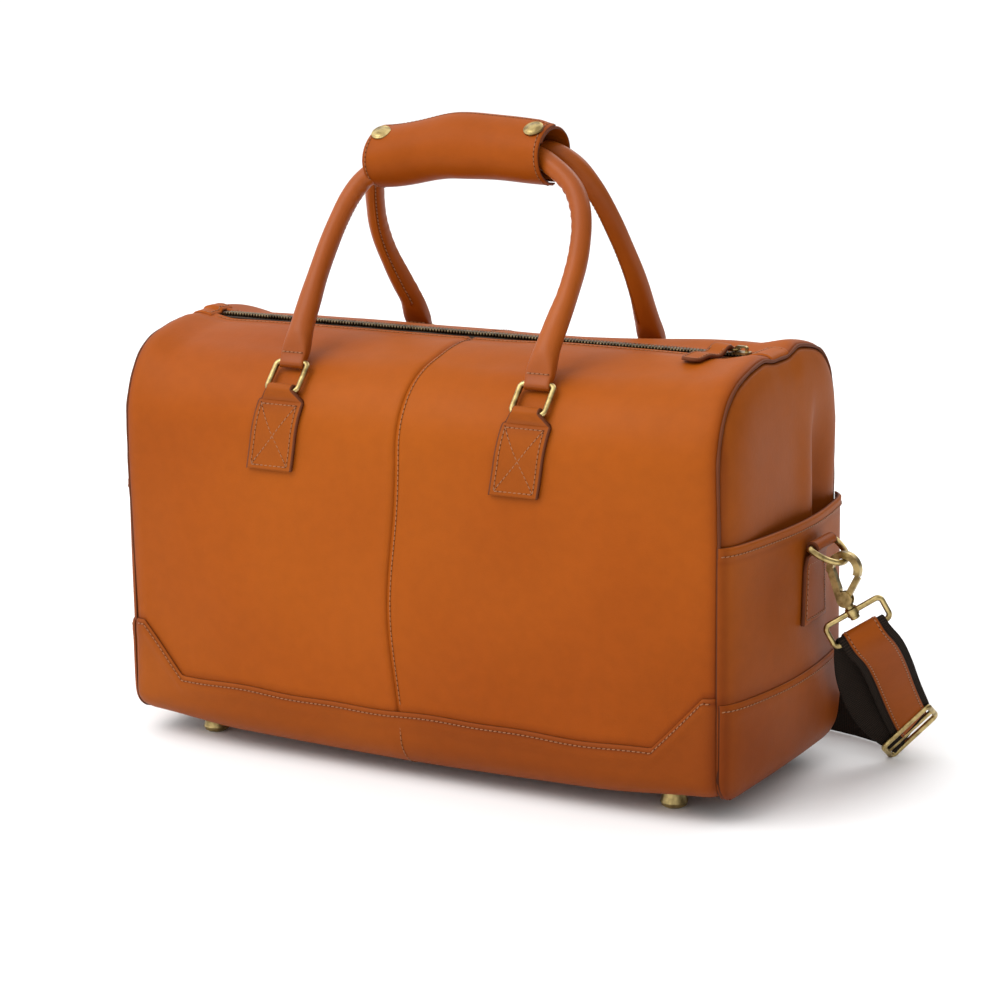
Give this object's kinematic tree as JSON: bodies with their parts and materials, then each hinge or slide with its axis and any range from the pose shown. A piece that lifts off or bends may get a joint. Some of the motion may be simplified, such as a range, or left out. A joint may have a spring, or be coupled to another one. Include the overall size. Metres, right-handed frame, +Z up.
{
  "type": "duffel bag",
  "caption": "Leather weekend duffel bag with two rolled handles held by a snap wrap, a top zip, end pockets and a clip-on shoulder strap.",
  "frame": {"origin": "on the floor, under the middle of the bag, between its feet", "axes": "+X along the bag's length, to the end that the zip closes towards; +Y to the back; +Z up"},
  "size_m": [0.6596, 0.2728, 0.4845],
  "materials": {
    "leather": "smooth pull-up leather, satin",
    "brass": "antique brass plating, satin",
    "lining": "plain woven cotton lining",
    "board": "stiff base board",
    "zip_tape": "woven zip tape",
    "zip_teeth": "dark antique metal teeth",
    "core": "twisted cotton rope",
    "webbing": "dark brown cotton webbing"
  },
  "bodies": {
    "root": {"front_panel_left": "leather", "front_panel_right": "leather", "back_panel_left": "leather", "back_panel_right": "leather", "base_band_front": "leather", "base_band_back": "leather", "bottom_panel": "leather", "end_panel_left": "leather", "end_panel_right": "leather", "end_pocket_left": "leather", "end_pocket_right": "leather", "end_band_left": "leather", "end_band_right": "leather", "piping_left": "leather", "piping_right": "leather", "zip_end_tab_left": "leather", "zip_end_tab_right": "leather", "handle_chape_front_left": "leather", "handle_chape_front_right": "leather", "handle_chape_back_left": "leather", "handle_chape_back_right": "leather", "dring_chape_left": "leather", "dring_chape_right": "leather", "strap_facing": "leather", "feet": "brass", "foot_washers": "brass", "hook_eye_left": "brass", "hook_eye_right": "brass", "strap_adjuster": "brass", "lining": "lining", "base_board": "board", "zip_tape_front": "zip_tape", "zip_tape_back": "zip_tape", "zip_chain_front": "zip_teeth", "zip_chain_back": "zip_teeth", "zip_stops": "zip_teeth", "strap_webbing": "webbing"},
    "front_rings": {"handle_ring_front_left": "brass", "handle_ring_front_right": "brass"},
    "front_handle": {"handle_front": "leather", "handle_core_front": "core"},
    "back_rings": {"handle_ring_back_left": "brass", "handle_ring_back_right": "brass"},
    "back_handle": {"handle_back": "leather", "handle_core_back": "core", "wrap_back": "leather", "snap_studs": "brass"},
    "wrap_flap": {"wrap_flap": "leather", "snap_caps": "brass"},
    "zip_slider": {"zip_slider": "brass"},
    "zip_pull": {"zip_pull_tab": "leather", "zip_pull_ring": "brass"},
    "dring_left": {"dring_left": "brass"},
    "hook_left": {"hook_body_left": "brass", "gate_pin_left": "brass"},
    "gate_left": {"hook_gate_left": "brass"},
    "dring_right": {"dring_right": "brass"},
    "hook_right": {"hook_body_right": "brass", "gate_pin_right": "brass"},
    "gate_right": {"hook_gate_right": "brass"}
  },
  "joints": [
    {"name": "front_rings_swing", "type": "hinge", "parent": "root", "child": "front_rings", "pos_m": [0, -0.109, 0.288], "axis": [1, 0, 0], "range_deg": [0, 100], "deforming": ["wrap_back", "wrap_flap", "snap_caps", "snap_studs"]},
    {"name": "front_handle_swing", "type": "hinge", "parent": "front_rings", "child": "front_handle", "pos_m": [0, -0.09231, 0.30621], "axis": [1, 0, 0], "range_deg": [0, 95]},
    {"name": "back_rings_swing", "type": "hinge", "parent": "root", "child": "back_rings", "pos_m": [0, 0.109, 0.288], "axis": [-1, 0, 0], "range_deg": [0, 100]},
    {"name": "back_handle_swing", "type": "hinge", "parent": "back_rings", "child": "back_handle", "pos_m": [0, 0.09231, 0.30621], "axis": [-1, 0, 0], "range_deg": [0, 95]},
    {"name": "wrap_flap_open", "type": "hinge", "parent": "back_handle", "child": "wrap_flap", "pos_m": [0, 0, 0.4383], "axis": [1, 0, 0], "range_deg": [0, 110]},
    {"name": "zip_slider_travel", "type": "slide", "parent": "root", "child": "zip_slider", "axis": [-1, 0, 0], "range_m": [0, 0.42]},
    {"name": "zip_pull_flip", "type": "hinge", "parent": "zip_slider", "child": "zip_pull", "pos_m": [0.218, 0, 0.3255], "axis": [0, 1, 0], "range_deg": [0, 150]},
    {"name": "dring_left_swing", "type": "hinge", "parent": "root", "child": "dring_left", "pos_m": [-0.2775, 0.015, 0.1853], "axis": [0, -1, 0], "range_deg": [0, 12]},
    {"name": "hook_left_swivel", "type": "hinge", "parent": "root", "child": "hook_left", "pos_m": [-0.2965, 0.015, 0.146], "axis": [-0.3941, 0.2741, -0.8772], "range_deg": [-5, 5]},
    {"name": "gate_left_press", "type": "hinge", "parent": "hook_left", "child": "gate_left", "pos_m": [-0.2965, 0.015, 0.146], "axis": [0, 1, 0], "range_deg": [0, 20], "stiffness_Nm_per_rad": 0.08},
    {"name": "dring_right_swing", "type": "hinge", "parent": "root", "child": "dring_right", "pos_m": [0.2775, 0.015, 0.1853], "axis": [0, 1, 0], "range_deg": [0, 12]},
    {"name": "hook_right_swivel", "type": "hinge", "parent": "root", "child": "hook_right", "pos_m": [0.2965, 0.015, 0.146], "axis": [0.3941, 0.2741, -0.8772], "range_deg": [-5, 5]},
    {"name": "gate_right_press", "type": "hinge", "parent": "hook_right", "child": "gate_right", "pos_m": [0.2965, 0.015, 0.146], "axis": [0, -1, 0], "range_deg": [0, 20], "stiffness_Nm_per_rad": 0.08}
  ]
}
